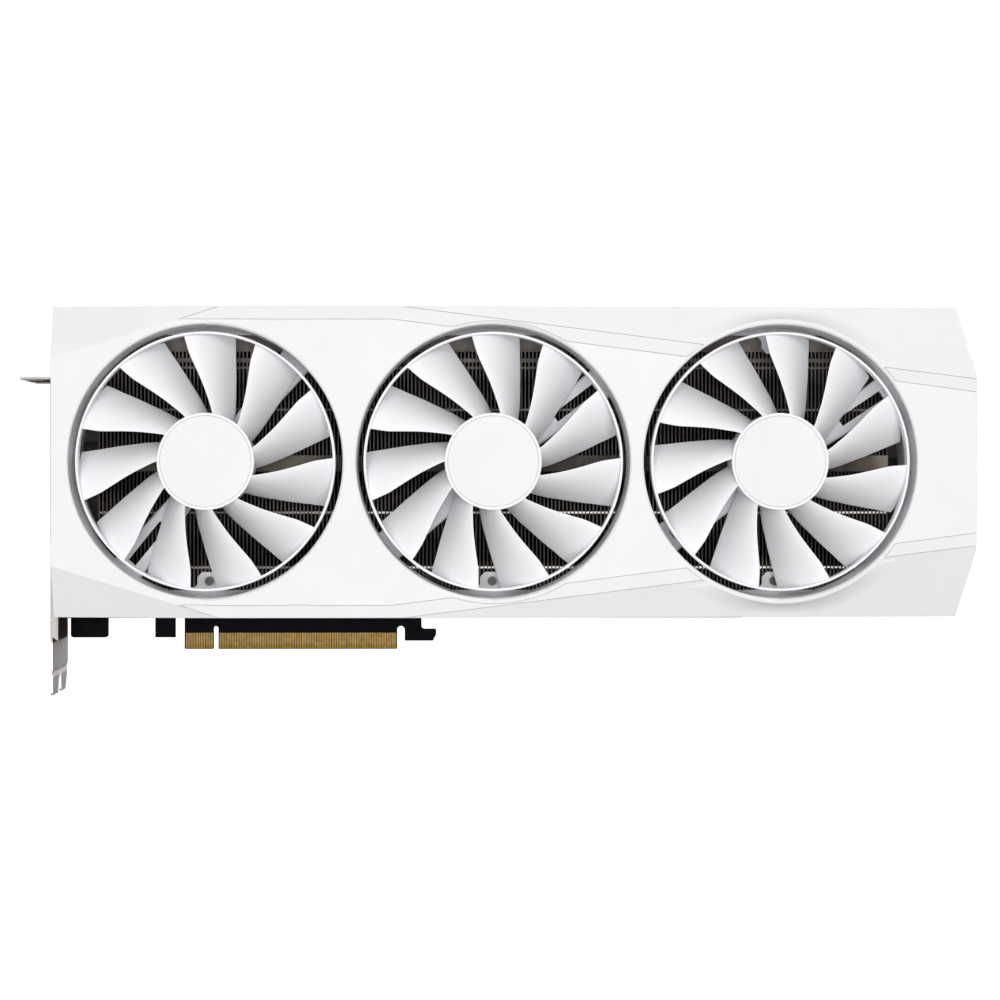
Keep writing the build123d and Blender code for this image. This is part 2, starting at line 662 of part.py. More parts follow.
def make_bracket():
    """Two-slot bracket with vents, socket openings, screw flange, front lip and board lugs."""
    t = BRACKET_THICK
    plate = box(0, t, BRACKET_FRONT, BRACKET_BACK, BRACKET_SPLIT, BRACKET_TOP)
    plate += tail(TAIL_NEAR)
    plate += tail(TAIL_FAR)
    flange = box(FLANGE_TIP, t, BRACKET_FRONT, BRACKET_BACK, BRACKET_TOP - t, BRACKET_TOP)
    for y in (-25.4, -5.1):
        flange -= box(-12, -4.6, y - 2.2, y + 2.2, BRACKET_TOP - 2, BRACKET_TOP + 2)
        flange -= Pos(-4.6, y, BRACKET_TOP) * Cylinder(2.2, 4)
    plate += flange
    lip = [(0, 7.6), (3.0, 5.6), (3.0, 96.8), (0, 97.8)]
    plate += slab(lip, BRACKET_FRONT, BRACKET_FRONT + t)
    for z in (21.0, 103.0):
        plate += box(0, 10, -t, 0, z - 4, z + 2.6) - disc(6.0, z, 1.3, -2, 1)
    for k in range(13):
        z = 22.0 + 6.0 * k
        plate -= box(-1, 2, -31.5, -19.5, z, z + 3.2)
    for z in PORT_Z[:3]:
        plate -= box(-1, 2, -7.5, -1.3, z - 8.4, z + 8.4)
    plate -= box(-1, 2, -7.5, -1.3, PORT_Z[3] - 7.9, PORT_Z[3] + 7.9)
    return plate


def make_port(z, half, depth):
    """Metal socket shell, open towards the outside of the bracket."""
    shell = box(-0.4, depth, -7.3, -1.5, z - half, z + half)
    shell -= box(-1, depth - 1.5, -6.9, -1.9, z - half + 0.4, z + half - 0.4)
    for side in (-1, 1):
        shell += box(4, 8, -1.5, 0, z + side * (half - 1) - 0.6, z + side * (half - 1) + 0.6)
    return shell


def make_io():
    """Bracket, picture sockets and their tongues, and the bracket screws."""
    save("io_bracket", make_bracket())
    save("display_ports", group([make_port(z, 8.3, 17) for z in PORT_Z[:3]]))
    save("hdmi_port", make_port(PORT_Z[3], 7.8, 13))
    tongues = [box(3, 15.5, -5.0, -3.8, z - 6.2, z + 6.2) for z in PORT_Z[:3]]
    tongues.append(box(2.5, 11.5, -5.0, -3.8, PORT_Z[3] - 5.6, PORT_Z[3] + 5.6))
    save("port_tongues", group(tongues))
    save("bracket_screws", group([screw(6.0, z, -2.2, -BRACKET_THICK, 3.0) for z in (21.0, 103.0)]))


# ---------------------------------------------------------------- backplate
def make_backplate():
    """Stiff rear cover with edge lips, spacers, processor window and tail vents."""
    near, far = BACKPLATE
    bottom = 14.4
    top = 130.6
    outline = [(4.9, bottom), (345.4, bottom), (351.6, 41.5), (351.6, 107.1), (345.4, top), (4.9, top)]
    plate = slab(outline, near, far)
    plate = chamfer(plate.faces().sort_by(Axis.Y)[-1].outer_wire().edges(), 0.5)
    plate += box(16, 268, BOARD_THICK, near, bottom, bottom + 1.4)
    plate += box(16, 340, BOARD_THICK, near, top - 1.4, top)
    cx, cz = CHIP_AT
    plate -= box(cx - 34, cx + 34, 0, 9, cz - 34, cz + 34)
    for x, z in BACKPLATE_SCREWS:
        plate += disc(x, z, 3.0, BOARD_THICK, near)
    for x, z in BACKPLATE_SCREWS:
        plate -= disc(x, z, 1.3, 0, 9) + disc(x, z, 2.5, far - 0.9, 9)
    for z in (SHROUD_MID_Z - END_STRAIGHT + 8, SHROUD_MID_Z + END_STRAIGHT - 8):
        plate -= disc(SHROUD_RIGHT - 6, z, 1.3, 0, 9) + disc(SHROUD_RIGHT - 6, z, 2.5, far - 0.9, 9)
    for k in range(9):
        x = 286 + 6.2 * k
        plate -= box(x, x + 3.4, 0, 9, 34, 114)
    return plate


def make_back():
    """Backplate, its screws, and the cross that clamps the contact plate."""
    near, far = BACKPLATE
    save("backplate", make_backplate())
    screws = [screw(x, z, far, far - 0.9, -1.5) for x, z in BACKPLATE_SCREWS]
    for z in (SHROUD_MID_Z - END_STRAIGHT + 8, SHROUD_MID_Z + END_STRAIGHT - 8):
        screws.append(screw(SHROUD_RIGHT - 6, z, far, far - 0.9, -4.0))
    save("backplate_screws", group(screws))
    cx, cz = CHIP_AT
    cross = tube(cx, cz, 16, 12, BOARD_THICK + 0.2, BOARD_THICK + 1.5)
    for angle in (45, 135, 225, 315):
        arm = Pos(27.3, BOARD_THICK + 0.85, 0) * Box(25.0, 1.3, 7)
        cross += Pos(cx, 0, cz) * Rot(0, -angle, 0) * arm
    for x, z in plate_screw_points():
        cross += disc(x, z, 4.0, BOARD_THICK, BOARD_THICK + 1.5)
        cross -= disc(x, z, 1.45, 0, 5)
    save("clamp_cross", cross)
    clamps = []
    for x, z in plate_screw_points():
        clamps.append(screw(x, z, 4.6, BOARD_THICK + 1.5, -4.5, head_r=2.8, shank_r=1.4))
    save("clamp_screws", group(clamps))


# ---------------------------------------------------------------- write every piece
save("shroud", make_shroud())
save("mounting_rails", make_rails())
save("trim_strip_upper", make_trim(0))
save("trim_strip_lower", mirrored(make_trim(0)))
make_fans()
make_heatsink()
save("circuit_board", make_board())
save("edge_contacts", make_contacts())
make_electronics()
make_io()
make_back()
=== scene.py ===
"""Looks of the triple-fan graphics card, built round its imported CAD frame.

The part's own frame is used throughout: +X runs from bracket to tail, -Y out of the fan side and +Z
away from the slot. Lengths are metres, except where a comment says millimetres.
"""

import json
import math

import bmesh
import bpy
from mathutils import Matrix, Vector


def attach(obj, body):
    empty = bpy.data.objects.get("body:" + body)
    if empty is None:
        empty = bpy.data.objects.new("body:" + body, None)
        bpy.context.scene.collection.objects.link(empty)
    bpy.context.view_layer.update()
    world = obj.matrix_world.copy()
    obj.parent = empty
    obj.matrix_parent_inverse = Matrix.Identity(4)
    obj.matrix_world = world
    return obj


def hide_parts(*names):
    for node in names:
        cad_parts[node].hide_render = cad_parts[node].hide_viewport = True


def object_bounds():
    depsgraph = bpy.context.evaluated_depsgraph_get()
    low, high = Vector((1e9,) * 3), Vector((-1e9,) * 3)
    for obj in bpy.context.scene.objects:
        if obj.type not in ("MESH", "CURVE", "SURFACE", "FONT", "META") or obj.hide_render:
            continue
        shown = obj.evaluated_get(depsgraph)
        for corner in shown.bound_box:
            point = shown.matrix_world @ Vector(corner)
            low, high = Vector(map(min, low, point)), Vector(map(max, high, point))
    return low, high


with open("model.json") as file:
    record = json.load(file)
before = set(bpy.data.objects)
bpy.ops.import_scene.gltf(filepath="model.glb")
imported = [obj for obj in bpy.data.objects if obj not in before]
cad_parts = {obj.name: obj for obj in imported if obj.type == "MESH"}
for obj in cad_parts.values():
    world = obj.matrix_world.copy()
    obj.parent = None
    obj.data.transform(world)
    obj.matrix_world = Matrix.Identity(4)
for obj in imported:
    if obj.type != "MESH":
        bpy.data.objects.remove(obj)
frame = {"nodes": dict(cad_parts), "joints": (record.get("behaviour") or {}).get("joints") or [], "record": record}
cad_low, cad_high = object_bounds()
nodes = frame["nodes"]

MM = 0.001
SHROUD_FRONT = cad_low.y
FAN_X = [joint["pos_m"][0] for joint in frame["joints"]]
FAN_Z = frame["joints"][0]["pos_m"][2]
FAN_TURN = (0.0, 0.0, -3.0)  # rest angle of each rotor, degrees

AMBIENT = 0.32  # strength of the white surroundings as a light
LIGHTS = (  # name, place, target, size, watts
    ("front_fill", (0.2, -2.2, 0.2), (0.17, 0.0, 0.07), 1.6, 34.5),
    ("top_key", (0.1, -0.9, 1.4), (0.17, 0.0, 0.07), 1.4, 3.5),
    ("back_fill", (0.3, 2.2, 0.9), (0.17, 0.1, 0.07), 1.6, 26.0),
    ("tail_fill", (2.4, 0.4, 0.7), (0.36, 0.1, 0.07), 1.4, 16.0),
    ("bracket_fill", (-2.2, 0.5, 0.6), (0.0, 0.1, 0.07), 1.4, 10.0),
)

CAMERA_X = 0.1465
CAMERA_Z = 0.06577
CAMERA_DISTANCE = 0.88  # from the front of the shroud
CAMERA_SHIFT = (0.04, -0.015)  # share of the picture's width
CAMERA_YAW = 0.03  # turn towards the tail, as a share of the picture's width
FRAME_WIDTH = 0.374  # what the picture spans at the front of the shroud
SENSOR_WIDTH = 36.0  # millimetres

FLOOR_GAP = 0.0005
FLOOR_HALF = 6.0


# ---------------------------------------------------------------- shader helpers
BLACK = (0.0, 0.0, 0.0)
WHITE = (1.0, 1.0, 1.0)


class Shader:
    """Strings shader nodes together for one material."""

    def __init__(self, name):
        self.mat = bpy.data.materials.new(name)
        self.mat.use_nodes = True
        self.tree = self.mat.node_tree
        self.bsdf = next(n for n in self.tree.nodes if n.type == "BSDF_PRINCIPLED")
        self.coords = self.node("ShaderNodeTexCoord").outputs["Object"]

    def node(self, kind, **settings):
        made = self.tree.nodes.new(kind)
        for key, value in settings.items():
            setattr(made, key, value)
        return made

    def link(self, out, socket):
        self.tree.links.new(out, socket)

    def stretched(self, scale):
        """Object coordinates scaled per axis."""
        mapping = self.node("ShaderNodeMapping")
        mapping.inputs["Scale"].default_value = scale
        self.link(self.coords, mapping.inputs["Vector"])
        return mapping.outputs["Vector"]

    def noise(self, scale, detail=3.0, rough=0.55, vector=None):
        """Cloudy noise from 0 to 1, on the object coordinates unless given others."""
        made = self.node("ShaderNodeTexNoise")
        made.inputs["Scale"].default_value = scale
        made.inputs["Detail"].default_value = detail
        made.inputs["Roughness"].default_value = rough
        self.link(vector or self.coords, made.inputs["Vector"])
        return made.outputs["Fac"]

    def axis(self, letter):
        """One of the object coordinates."""
        made = self.node("ShaderNodeSeparateXYZ")
        self.link(self.coords, made.inputs["Vector"])
        return made.outputs[letter]

    def add(self, one, other):
        made = self.node("ShaderNodeMath", operation="ADD")
        self.link(one, made.inputs[0])
        self.link(other, made.inputs[1])
        return made.outputs["Value"]

    def between(self, value, from_low, from_high, to_low, to_high):
        """A value carried from one range to another and held at its ends."""
        made = self.node("ShaderNodeMapRange")
        made.inputs["From Min"].default_value = from_low
        made.inputs["From Max"].default_value = from_high
        made.inputs["To Min"].default_value = to_low
        made.inputs["To Max"].default_value = to_high
        self.link(value, made.inputs["Value"])
        return made.outputs["Result"]

    def spread(self, noise, low, high):
        """Noise, which keeps near its middle, spread over a range."""
        return self.between(noise, 0.3, 0.7, low, high)

    def ramp(self, value, stops):
        """Colour picked by a value from 0 to 1, from (place, colour) stops."""
        made = self.node("ShaderNodeValToRGB")
        elements = made.color_ramp.elements
        while len(elements) < len(stops):
            elements.new(0.5)
        for element, (pos, colour) in zip(elements, stops):
            element.position = pos
            element.color = (*colour, 1.0)
        self.link(value, made.inputs["Fac"])
        return made.outputs["Color"]

    def bands(self, place, table):
        """Colour picked by a place, from a (millimetres, colour) table."""
        low = table[0][0]
        high = table[-1][0]
        share = self.between(place, low * MM, high * MM, 0.0, 1.0)
        return self.ramp(share, [((mm - low) / (high - low), colour) for mm, colour in table])

    def grey(self, value):
        """A value from 0 to 1 as a colour from black to white."""
        return self.ramp(value, [(0.0, BLACK), (1.0, WHITE)])

    def mix(self, blend, amount, one, other):
        """Two colours blended; the amount is a number or another node's output."""
        made = self.node("ShaderNodeMixRGB", blend_type=blend)
        if isinstance(amount, float):
            made.inputs["Fac"].default_value = amount
        else:
            self.link(amount, made.inputs["Fac"])
        self.link(one, made.inputs["Color1"])
        self.link(other, made.inputs["Color2"])
        return made.outputs["Color"]

    def multiply(self, one, other):
        return self.mix("MULTIPLY", 1.0, one, other)

    def bump(self, *layers):
        """Stack of (height, strength, distance) bumps."""
        last = None
        for height, strength, distance in layers:
            made = self.node("ShaderNodeBump")
            made.inputs["Strength"].default_value = strength
            made.inputs["Distance"].default_value = distance
            self.link(height, made.inputs["Height"])
            if last is not None:
                self.link(last, made.inputs["Normal"])
            last = made.outputs["Normal"]
        self.link(last, self.bsdf.inputs["Normal"])

    def colour(self, output):
        self.link(output, self.bsdf.inputs["Base Color"])

    def roughness(self, noise, low, high):
        self.link(self.spread(noise, low, high), self.bsdf.inputs["Roughness"])

    def set(self, **values):
        """Constants straight on the shader, with _ for each space in a socket's name."""
        for key, value in values.items():
            self.bsdf.inputs[key.replace("_", " ")].default_value = value


def shade(colour, factor):
    return tuple(min(1.0, c * factor) for c in colour)


def varied(colour, vary):
    """Ramp stops from a little darker to a little lighter than a colour."""
    return [(0.3, shade(colour, 1 - vary)), (0.7, shade(colour, 1 + vary))]


# ---------------------------------------------------------------- plain plastics and metals
def moulded(name, colour, rough=(0.42, 0.52), grain=2600.0, spec=0.5):
    """Fine-grained moulded plastic with a faint unevenness of colour and gloss."""
    s = Shader(name)
    broad = s.noise(38.0, detail=3.0)
    fine = s.noise(grain, detail=2.0, rough=0.6)
    s.colour(s.ramp(broad, varied(colour, 0.015)))
    s.roughness(s.noise(160.0, detail=4.0), *rough)
    s.bump((fine, 0.35, 0.00003), (broad, 0.25, 0.00012))
    s.set(Specular_IOR_Level=spec)
    return s.mat


def metal(name, colour, rough=(0.28, 0.42)):
    """Metal with a fine drawn grain along the length of the card."""
    s = Shader(name)
    grain = s.noise(1.0, detail=6.0, rough=0.65, vector=s.stretched((40.0, 900.0, 900.0)))
    blotch = s.noise(90.0, detail=4.0)
    s.colour(s.ramp(blotch, varied(colour, 0.06)))
    s.roughness(grain, *rough)
    s.bump((grain, 0.3, 0.00001))
    s.set(Metallic=1.0)
    return s.mat


# ---------------------------------------------------------------- fins, contacts and bracket
FIN_BANDS = (  # height in millimetres, tone from 0 to 255 as seen: the fins' own brown and grey with painted light and shade
    (20, 60), (28, 80), (33.5, 58), (36, 26), (44, 24), (47, 38), (52, 50), (60, 50), (63.5, 38), (65, 22),
    (70, 24), (79, 46), (84, 40), (86, 30), (92, 52), (100, 44), (104.5, 38), (106, 50), (110, 54),
    (116, 54), (117, 64), (122, 66), (128, 60),
)
FIN_TINT = (1.0, 0.86, 0.79)
FIN_LIGHT_GAIN = 3.6  # painted light: brightens the fins to make up for the little light that gets in between the blades
TONE_POWER = 2.2  # turns a tone as seen into a share of the light
FIN_WANDER = 0.0028  # how far a band wanders up and down

ROW_HEIGHTS = ((34.2, 1.0), (55.2, 1.0), (94.6, 0.14))  # millimetres and brightness of the painted highlight on each row of bent tabs
ROW_HIGHLIGHT_TINT = (1.0, 0.95, 0.9)
ROW_HALF = 0.45  # half the height of a row, millimetres
ROW_EDGE = 0.6  # and where it has faded out
ROW_NEAR = (-42.4, -42.3)  # depths in millimetres over which the rows fade in
ROW_FAR = (-41.8, -41.7)  # and out again
ROW_DIM = (100.0, 125.0)  # millimetres along the card over which the painted row highlights come up to full strength
ROW_DIM_LEVEL = 0.25

BAR_FACE = (-42.7, -42.6)  # millimetres; only the middle bar stands in front of this
BAR_SHADE_TONES = (  # place along the middle bar in millimetres and its colour there, lighter and darker along it as painted light and shade
    (20.0, (0.04, 0.034, 0.026)),
    (60.0, (0.09, 0.082, 0.06)),
    (96.0, (0.115, 0.1, 0.072)),
    (108.0, (0.03, 0.028, 0.022)),
    (226.0, (0.038, 0.028, 0.024)),
    (306.0, (0.036, 0.027, 0.022)),
    (316.0, (0.1, 0.078, 0.055)),
    (321.0, (0.24, 0.2, 0.16)),
)


def fin_bands_with_shade(s):
    """Bands of brown and grey up the fins, uneven from fin to fin: the fins' own colour with painted light and
    shade.
    """
    uneven = s.noise(1.0, detail=2.0, rough=0.5, vector=s.stretched((38.0, 0.0, 5.0)))
    height = s.add(s.axis("Z"), s.spread(uneven, -FIN_WANDER, FIN_WANDER))
    table = [(z, shade(FIN_TINT, FIN_LIGHT_GAIN * (tone / 255) ** TONE_POWER)) for z, tone in FIN_BANDS]
    speckle = s.noise(1.0, detail=3.0, rough=0.6, vector=s.stretched((120.0, 120.0, 150.0)))
    grime = s.ramp(speckle, [(0.35, (0.55, 0.55, 0.55)), (0.65, WHITE)])
    return s.multiply(s.bands(height, table), grime)


def tab_row_highlights(s):
    """Painted highlights along the rows of small bent tabs, dimmer towards the bracket."""
    table = [(FIN_BANDS[0][0], BLACK)]
    for z, level in ROW_HEIGHTS:
        lit = shade(ROW_HIGHLIGHT_TINT, level)
        table += [(z - ROW_EDGE, BLACK), (z - ROW_HALF, lit), (z + ROW_HALF, lit), (z + ROW_EDGE, BLACK)]
    table.append((FIN_BANDS[-1][0], BLACK))
    rows = s.bands(s.axis("Z"), table)
    near = s.between(s.axis("Y"), ROW_NEAR[0] * MM, ROW_NEAR[1] * MM, 0.0, 1.0)
    far = s.between(s.axis("Y"), ROW_FAR[0] * MM, ROW_FAR[1] * MM, 1.0, 0.0)
    side = s.between(s.axis("X"), ROW_DIM[0] * MM, ROW_DIM[1] * MM, ROW_DIM_LEVEL, 1.0)
    for mask in (near, far, side):
        rows = s.multiply(rows, s.grey(mask))
    return rows


def fin_metal(name):
    """Dark coated fin sheet with its bands, the painted highlights of the tab rows and the flat middle bar with
    its painted light and shade.
    """
    s = Shader(name)
    # painted highlights of the tab rows added on top of the fin colour
    fins = s.mix("ADD", 1.0, fin_bands_with_shade(s), tab_row_highlights(s))
    # painted light and shade along the middle bar
    bar = s.bands(s.axis("X"), BAR_SHADE_TONES)
    on_bar = s.between(s.axis("Y"), BAR_FACE[0] * MM, BAR_FACE[1] * MM, 1.0, 0.0)
    s.colour(s.mix("MIX", on_bar, fins, bar))
    s.roughness(s.noise(220.0, detail=4.0), 0.45, 0.6)
    s.bump((s.noise(900.0, detail=3.0), 0.25, 0.00002))
    s.set(Metallic=0.2, Specular_IOR_Level=0.3)
    return s.mat


GOLD_LOWER = (0.17, 0.118, 0.026)
GOLD_UPPER = (0.225, 0.148, 0.052)
GOLD_TABLE = ((0.0, GOLD_LOWER), (1.56, GOLD_LOWER), (2.21, GOLD_UPPER), (6.5, shade(GOLD_UPPER, 1.1)))


def gold_metal(name):
    """Gold plating, darker towards the lower edge."""
    s = Shader(name)
    blotch = s.ramp(s.noise(700.0, detail=3.0), [(0.3, (0.9, 0.9, 0.9)), (0.7, WHITE)])
    s.colour(s.multiply(s.bands(s.axis("Z"), GOLD_TABLE), blotch))
    s.roughness(s.noise(400.0, detail=4.0), 0.42, 0.55)
    s.bump((s.noise(1500.0, detail=3.0), 0.2, 0.00001))
    s.set(Metallic=1.0)
    return s.mat


# painted light and shade: the sheet is lighter at its foot and darker up its body
BRACKET_LIT_FOOT = (0.68, 0.65, 0.63)
BRACKET_SHADED_BODY = (0.25, 0.235, 0.225)
EDGE_SHADE_BROWN = (0.16, 0.1, 0.085)
EDGE_SHADE_DARK = (0.03, 0.028, 0.025)
BRACKET_TABLE = ((0.0, BRACKET_LIT_FOOT), (4.4, BRACKET_LIT_FOOT), (5.28, BRACKET_SHADED_BODY), (110.0, BRACKET_SHADED_BODY))
BRACKET_EDGE_TABLE = (  # tint of the shine seen at a grazing angle, darkened as painted shade just below the shroud and at the flange
    (0.0, WHITE),
    (4.4, WHITE),
    (5.28, EDGE_SHADE_BROWN),
    (15.4, EDGE_SHADE_BROWN),
    (22.0, WHITE),
    (99.0, WHITE),
    (103.4, EDGE_SHADE_DARK),
    (110.0, EDGE_SHADE_DARK),
)


def bracket_metal(name):
    """Plated steel sheet with painted shade: browner just below the shroud, dark at the flange and darker above
    its lighter foot.
    """
    s = Shader(name)
    blotch = s.ramp(s.noise(90.0, detail=4.0), [(0.3, (0.93, 0.93, 0.93)), (0.7, WHITE)])
    s.colour(s.multiply(s.bands(s.axis("Z"), BRACKET_TABLE), blotch))
    s.link(s.bands(s.axis("Z"), BRACKET_EDGE_TABLE), s.bsdf.inputs["Specular Tint"])
    grain = s.noise(1.0, detail=6.0, rough=0.65, vector=s.stretched((900.0, 900.0, 40.0)))
    s.roughness(grain, 0.32, 0.45)
    s.bump((grain, 0.3, 0.00001))
    s.set(Metallic=1.0)
    return s.mat


# ---------------------------------------------------------------- one material for each slot
MATERIALS = {
    "shroud": moulded("white_shell", (0.86, 0.86, 0.875)),
    "trim": moulded("grey_trim", (0.82, 0.82, 0.835), rough=(0.42, 0.5)),
    # a touch whiter than the shell: painted light for the bright front edges and ring of the blades
    "rotor": moulded("white_blades_lightened", (0.91, 0.91, 0.93), rough=(0.34, 0.42), grain=3200.0),
    "cap": moulded("white_cap", (0.835, 0.835, 0.85), rough=(0.38, 0.46)),
    # mid grey, darker than the white shell: painted shade on the deep-set carrier and its screw tabs
    "fan_frame": moulded("grey_carrier_shaded", (0.58, 0.58, 0.6), spec=0.3),
    "magnet": metal("magnet_iron", (0.10, 0.10, 0.11), rough=(0.5, 0.6)),
    "stator": metal("stator_steel", (0.25, 0.17, 0.12), rough=(0.45, 0.6)),
    "gold_bearing": metal("bearing_bronze", (0.62, 0.44, 0.22)),
    "screws": metal("screw_steel", (0.055, 0.053, 0.051), rough=(0.38, 0.48)),
    "fins": fin_metal("dark_fins"),
    "copper": metal("pipe_copper", (0.72, 0.38, 0.25)),
    "nuts": metal("nut_alloy", (0.6, 0.6, 0.62)),
    "pads": moulded("soft_pad", (0.42, 0.46, 0.52), rough=(0.7, 0.8)),
    "board": moulded("black_board", (0.0016, 0.0016, 0.0042), rough=(0.5, 0.6), spec=0.06),
    "gold": gold_metal("contact_gold"),
    "board_green": moulded("green_laminate", (0.03, 0.13, 0.06), rough=(0.4, 0.5)),
    "silicon": metal("silicon_mirror", (0.32, 0.33, 0.36), rough=(0.08, 0.14)),
    "chips": moulded("chip_resin", (0.02, 0.02, 0.022), rough=(0.6, 0.7)),
    "coils": moulded("coil_resin", (0.09, 0.09, 0.1), rough=(0.5, 0.6)),
    "cans": metal("can_alloy", (0.3, 0.3, 0.32)),
    "sockets": moulded("socket_nylon", (0.012, 0.012, 0.013), rough=(0.45, 0.55)),
    "headers": moulded("header_nylon", (0.78, 0.77, 0.72), rough=(0.5, 0.6)),
    "bracket": bracket_metal("bracket_nickel"),
    "port_metal": metal("port_nickel", (0.6, 0.6, 0.62), rough=(0.22, 0.34)),
    "backplate": moulded("white_backplate", (0.84, 0.84, 0.86), rough=(0.34, 0.44), grain=1800.0),
}
SLOT_OF = {row["node"]: row["material_slot"] for row in frame["record"]["subparts"]}
for name, obj in nodes.items():
    obj.data.materials.clear()
    obj.data.materials.append(MATERIALS[SLOT_OF[name]])
    for poly in obj.data.polygons:
        poly.material_index = 0


# ---------------------------------------------------------------- mesh helpers
def new_piece(name, verts, faces, slot, body):
    """Smooth closed mesh that rides on a body and takes the finish of a slot."""
    mesh = bpy.data.meshes.new(name)
    mesh.from_pydata(verts, [], faces)
    mesh.validate()
    mesh.update()
    mesh.shade_smooth()
    bm = bmesh.new()
    bm.from_mesh(mesh)
    bmesh.ops.recalc_face_normals(bm, faces=bm.faces)
    bm.to_mesh(mesh)
    bm.free()
    obj = bpy.data.objects.new(name, mesh)
    bpy.context.scene.collection.objects.link(obj)
    mesh.materials.append(MATERIALS[slot])
    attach(obj, body)
    return obj


def lathe(profile, segments, centre):
    """Closed ring from an (r, y) profile turned about the Y axis through a centre in the XZ plane."""
    verts = []
    faces = []
    count = len(profile)
    for k in range(segments):
        a = 2 * math.pi * k / segments
        for r, y in profile:
            verts.append((centre[0] + r * math.cos(a), y, centre[1] + r * math.sin(a)))
    for k in range(segments):
        n = (k + 1) % segments
        for i in range(count):
            j = (i + 1) % count
            faces.append((k * count + i, k * count + j, n * count + j, n * count + i))
    return verts, faces


def loft(loops):
    """Closed skin over a row of loops of points, with a face over each end."""
    count = len(loops[0])
    last = len(loops) - 1
    verts = [point for loop in loops for point in loop]
    faces = []
    for i in range(last):
        for j in range(count):
            k = (j + 1) % count
            faces.append((i * count + j, i * count + k, (i + 1) * count + k, (i + 1) * count + j))
    faces.append(tuple(range(count)))
    faces.append(tuple(reversed(range(last * count, (last + 1) * count))))
    return verts, faces


def rounded(points, radius, steps=4):
    """Closed outline with each corner replaced by a small curve."""
    out = []
    n = len(points)
    for i, p in enumerate(points):
        a = Vector(points[i - 1]) - Vector(p)
        b = Vector(points[(i + 1) % n]) - Vector(p)
        cut = min(radius, a.length * 0.45, b.length * 0.45)
        start = Vector(p) + a.normalized() * cut
        end = Vector(p) + b.normalized() * cut
        for s in range(steps + 1):
            t = s / steps
            q = start * (1 - t) ** 2 + Vector(p) * 2 * t * (1 - t) + end * t**2
            out.append((q.x, q.y))
    return out


# ---------------------------------------------------------------- fan rotors, in millimetres
BLADES = 11
LEAD = (  # radius and angle along a blade's front edge
    (17.0, 46.3),
    (18.2, 48.0),
    (22.5, 53.5),
    (28.5, 58.6),
    (34.5, 62.6),
    (40.4, 65.5),
    (44.0, 66.3),
    (47.9, 66.9),
)
TRAIL = (  # radius and angle along its rear edge
    (17.0, 24.0),
    (18.2, 25.5),
    (22.8, 30.5),
    (28.9, 36.0),
    (35.0, 39.7),
    (41.0, 42.6),
    (44.0, 43.6),
    (47.9, 44.9),
)
BLADE_FRONT = -63.0
BLADE_BACK = -51.1
BLADE_SPAN = (17.3, 48.1)  # from inside the hub's wall to inside the outer ring
BLADE_ROWS = 30
BLADE_STEPS = 26
BLADE_HALF = 0.55  # half the thickness
ROOT_EXTRA = 0.4  # added to it at the hub
ROOT_REACH = 5.0
CAMBER = 2.5
CAMBER_GAIN = 0.01  # for each millimetre out from the hub
REAR_ROUND = 0.08  # share of the width over which an edge is rounded
FRONT_ROUND = 0.03
EDGE_HALF = 0.12  # share of the thickness left at the very edge
THICK_DEPTH = 0.8  # a blade slopes, so its thickness runs partly in depth and partly round the hub
THICK_ROUND = 0.55

HUB_R = 18.2
HUB_FRONT = -63.9
HUB_BACK = -49.6
HUB_ROUND = 0.3
HUB_PROFILE = (  # radius and depth
    (3.0, -62.0),
    (3.0, -63.2),
    (17.1, -63.2),
    (17.1, HUB_FRONT),
    (HUB_R, HUB_FRONT),
    (HUB_R, HUB_BACK),
    (16.7, HUB_BACK),
    (16.7, -62.0),
)
RING_PROFILE = ((47.6, -64.2), (48.6, -64.2), (48.6, -58.8), (47.6, -58.8))
RING_ROUND = 0.35


def along(table, r):
    """Value of a (radius, value) table at a radius, joined by a smooth curve."""
    last = len(table) - 2
    k = next((i for i in range(last) if r <= table[i + 1][0]), last)
    (r0, v0), (r1, v1) = table[k], table[k + 1]
    before = table[max(k - 1, 0)]
    after = table[min(k + 2, last + 1)]
    span = r1 - r0
    slope0 = (v1 - before[1]) / (r1 - before[0]) * span
    slope1 = (after[1] - v0) / (after[0] - r0) * span
    t = (r - r0) / span
    a = 2 * v0 - 2 * v1 + slope0 + slope1
    b = -3 * v0 + 3 * v1 - 2 * slope0 - slope1
    return ((a * t + b) * t + slope0) * t + v0


def blade_loop(r):
    """Closed loop of (angle, depth) points round the blade's section at one radius."""
    lead = along(LEAD, r)
    trail = along(TRAIL, r)
    near_root = max(0.0, 1.0 - (r - HUB_R) / ROOT_REACH)
    half = BLADE_HALF + ROOT_EXTRA * near_root**2
    camber = CAMBER + CAMBER_GAIN * (r - HUB_R)
    loop = []
    for side in (1, -1):
        for k in range(BLADE_STEPS + 1):
            t = (1 - side * math.cos(math.pi * k / BLADE_STEPS)) / 2
            angle = math.radians(trail + (lead - trail) * t)
            depth = BLADE_BACK + (BLADE_FRONT - BLADE_BACK) * t - camber * 4 * t * (1 - t)
            rear = min(1.0, t / REAR_ROUND)
            fore = min(1.0, (1 - t) / FRONT_ROUND)
            fullness = math.sqrt(rear * (2 - rear) * fore * (2 - fore))
            thick = side * half * (EDGE_HALF + (1 - EDGE_HALF) * fullness)
            loop.append((angle + thick * THICK_ROUND / r, depth - thick * THICK_DEPTH))
    return loop


def blade(index, number):
    """One blade of one fan."""
    turn = math.radians(FAN_TURN[index] + number * 360 / BLADES)
    first, last = BLADE_SPAN
    loops = []
    for i in range(BLADE_ROWS + 1):
        r = first + (last - first) * i / BLADE_ROWS
        loop = []
        for angle, y in blade_loop(r):
            x = FAN_X[index] + r * math.cos(angle + turn) * MM
            z = FAN_Z + r * math.sin(angle + turn) * MM
            loop.append((x, y * MM, z))
        loops.append(loop)
    return loft(loops)


